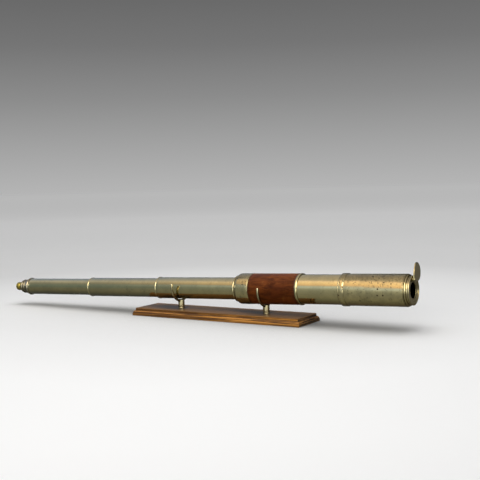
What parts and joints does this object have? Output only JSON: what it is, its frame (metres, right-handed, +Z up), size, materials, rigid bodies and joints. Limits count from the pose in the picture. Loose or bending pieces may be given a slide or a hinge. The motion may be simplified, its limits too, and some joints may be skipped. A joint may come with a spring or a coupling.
{
  "type": "brass telescope",
  "caption": "Hand-held brass draw telescope with mahogany-covered barrel, sliding ray shade and shuttered end cap, lying in two brass cradles on an oak stand.",
  "frame": {"origin": "middle of the stand's underside", "axes": "+X along the stand towards the objective end, +Z up"},
  "size_m": [0.9711, 0.0886, 0.1227],
  "materials": {
    "aged_brass": "aged, satin, with patches of green-brown patina",
    "pale_brass": "dull rubbed brass",
    "yellow_brass": "polished, deeper yellow",
    "blackened_brass": "matt black inside surfaces",
    "mahogany": "french polished",
    "oak": "dark waxed oak, paler on the moulded edges",
    "glass": "clear polished"
  },
  "bodies": {
    "stand": {"base_board": "oak", "post_left": "pale_brass", "fork_left": "pale_brass", "post_screw_left": "pale_brass", "post_right": "pale_brass", "fork_right": "pale_brass", "post_screw_right": "pale_brass"},
    "barrel": {"barrel_tube": "aged_brass", "mahogany_sleeve": "mahogany", "rear_collar": "aged_brass", "sleeve_ring": "aged_brass", "objective_cell": "aged_brass", "flint_lens": "glass", "crown_lens": "glass", "objective_retaining_ring": "blackened_brass"},
    "draw_3": {"draw_3_tube": "aged_brass", "draw_3_collar": "aged_brass", "draw_3_guide_ring": "blackened_brass"},
    "draw_2": {"draw_2_tube": "aged_brass", "draw_2_collar": "aged_brass", "draw_2_guide_ring": "blackened_brass"},
    "draw_1": {"draw_1_tube": "aged_brass", "draw_1_guide_ring": "blackened_brass", "eyepiece_mount": "aged_brass", "eyepiece_drum": "aged_brass", "eye_cup": "yellow_brass", "eye_lens": "glass", "eye_lens_ring": "blackened_brass", "eyepiece_tube": "blackened_brass", "field_stop": "blackened_brass", "field_lens": "glass", "field_lens_ring": "blackened_brass", "erector_tube": "blackened_brass", "erector_rear_lens": "glass", "erector_stop": "blackened_brass", "erector_front_lens": "glass"},
    "ray_shade": {"shade_tube": "aged_brass", "shade_rear_ring": "aged_brass", "shade_mouth": "aged_brass"},
    "end_cap": {"cap_body": "aged_brass", "shutter_pivot_screw": "aged_brass"},
    "shutter": {"shutter_leaf": "aged_brass"}
  },
  "joints": [
    {"name": "lift_off", "type": "slide", "parent": "stand", "child": "barrel", "axis": [0, 0, 1], "range_m": [0, 0.1]},
    {"name": "draw_3_slide", "type": "slide", "parent": "barrel", "child": "draw_3", "axis": [0.9994, 0, 0.0344], "range_m": [0, 0.1875]},
    {"name": "draw_2_slide", "type": "slide", "parent": "draw_3", "child": "draw_2", "axis": [0.9994, 0, 0.0344], "range_m": [0, 0.1803]},
    {"name": "draw_1_slide", "type": "slide", "parent": "draw_2", "child": "draw_1", "axis": [0.9994, 0, 0.0344], "range_m": [0, 0.1776]},
    {"name": "shade_slide", "type": "slide", "parent": "barrel", "child": "ray_shade", "axis": [-0.9994, 0, -0.0344], "range_m": [0, 0.083]},
    {"name": "cap_pull", "type": "slide", "parent": "ray_shade", "child": "end_cap", "axis": [0.9994, 0, 0.0344], "range_m": [0, 0.04]},
    {"name": "shutter_swing", "type": "hinge", "parent": "end_cap", "child": "shutter", "pos_m": [0.40449, 0, 0.0933], "axis": [0.9994, 0, 0.0344], "range_deg": [-132, 48]}
  ]
}
